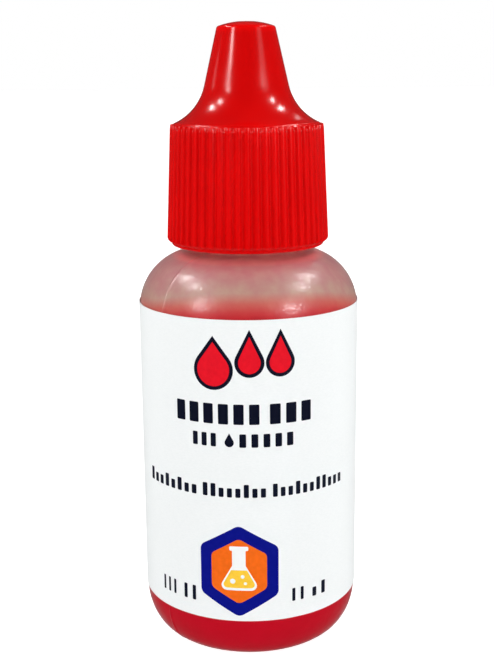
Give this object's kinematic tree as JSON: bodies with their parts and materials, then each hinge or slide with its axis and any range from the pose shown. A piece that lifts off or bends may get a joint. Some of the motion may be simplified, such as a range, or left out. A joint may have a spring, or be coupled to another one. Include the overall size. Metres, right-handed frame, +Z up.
{
  "type": "dropper bottle",
  "caption": "Small plastic squeeze dropper bottle of red liquid, with a wrap-round label, a press-in dropper tip and a ribbed screw cap with a tall cone over the nozzle.",
  "frame": {"origin": "middle of the base, on the surface that the bottle stands on", "axes": "+Z up along the bottle's axis; the label's front faces -Y"},
  "size_m": [0.025, 0.0249, 0.0702],
  "materials": {
    "natural_polyethylene": "natural blow-moulded low-density polyethylene, hazy and see-through, soft gloss",
    "natural_plug": "natural moulded low-density polyethylene",
    "red_polypropylene": "glossy red moulded polypropylene",
    "white_paper": "coated white label paper, printed",
    "red_liquid": "clear red water-based test reagent"
  },
  "bodies": {
    "bottle": {"bottle": "natural_polyethylene", "dropper_tip": "natural_plug", "label": "white_paper"},
    "liquid": {"reagent": "red_liquid"},
    "cap": {"cap": "red_polypropylene"}
  },
  "joints": [
    {"name": "cap_turn", "type": "hinge", "parent": "bottle", "child": "liquid", "pos_m": [0, 0, 0], "axis": [0, 0, 1], "range_deg": [0, 3960]},
    {"name": "cap_rise", "type": "slide", "parent": "liquid", "child": "cap", "axis": [0, 0, 1], "range_m": [0, 0.0233]}
  ],
  "couplings": [
    {"joint": "cap_rise", "follows": "cap_turn", "m_per_rad": 0.00033688}
  ]
}
